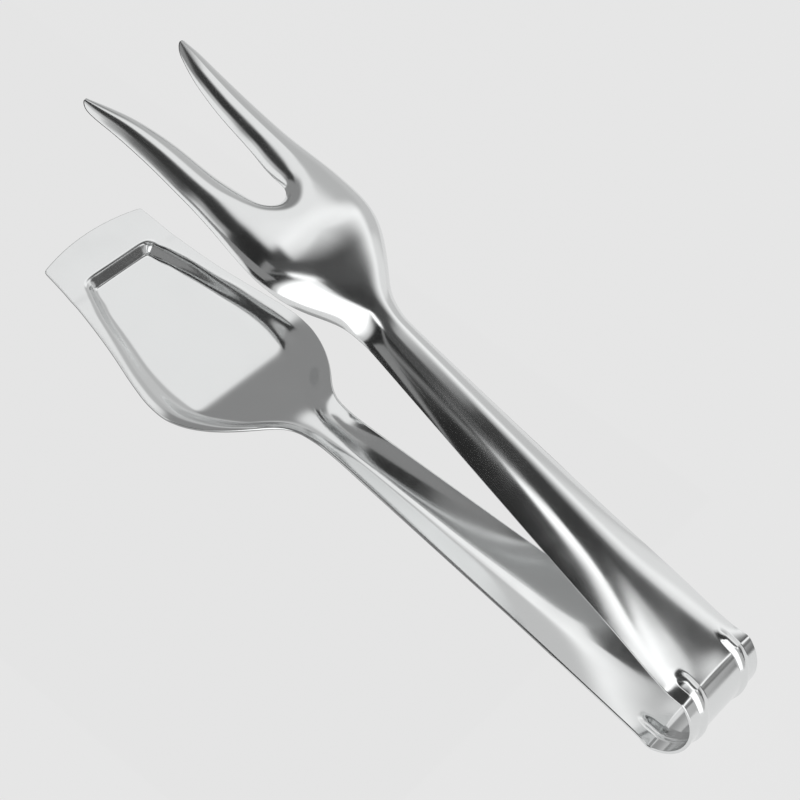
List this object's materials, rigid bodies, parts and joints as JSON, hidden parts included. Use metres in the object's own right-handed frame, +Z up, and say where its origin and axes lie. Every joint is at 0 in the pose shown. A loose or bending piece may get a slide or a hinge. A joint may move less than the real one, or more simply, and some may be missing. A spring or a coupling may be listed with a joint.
{
  "type": "serving tongs",
  "caption": "One-piece spring serving tongs in pressed sheet steel, with a two-prong fork on one arm closing onto a dished spade on the other.",
  "frame": {"origin": "centre of the bounding box's base, on the table that the tongs lie on", "axes": "+X from the spring bow towards the tips, +Y across the strip, +Z up from the spade towards the fork"},
  "size_m": [0.2002, 0.0506, 0.0731],
  "materials": {
    "polished_steel": "stainless sheet polished nearly to a mirror, with faint lengthwise polishing lines"
  },
  "bodies": {
    "bow": {"spring_bow": "polished_steel"},
    "fork_arm": {"fork_handle": "polished_steel", "fork_head": "polished_steel"},
    "spade_arm": {"spade_handle": "polished_steel", "spade_blade": "polished_steel"}
  },
  "joints": [
    {"name": "fork_flex", "type": "hinge", "parent": "bow", "child": "fork_arm", "pos_m": [-0.0939, 0, 0.02068], "axis": [0, 1, 0], "range_deg": [0, 9], "stiffness_Nm_per_rad": 6, "springref_deg": -0.57},
    {"name": "spade_flex", "type": "hinge", "parent": "bow", "child": "spade_arm", "pos_m": [-0.09062, 0, 0.00151], "axis": [0, -1, 0], "range_deg": [0, 9], "stiffness_Nm_per_rad": 6, "springref_deg": -0.57}
  ],
  "couplings": [
    {"joint": "spade_flex", "follows": "fork_flex", "ratio": 1}
  ]
}
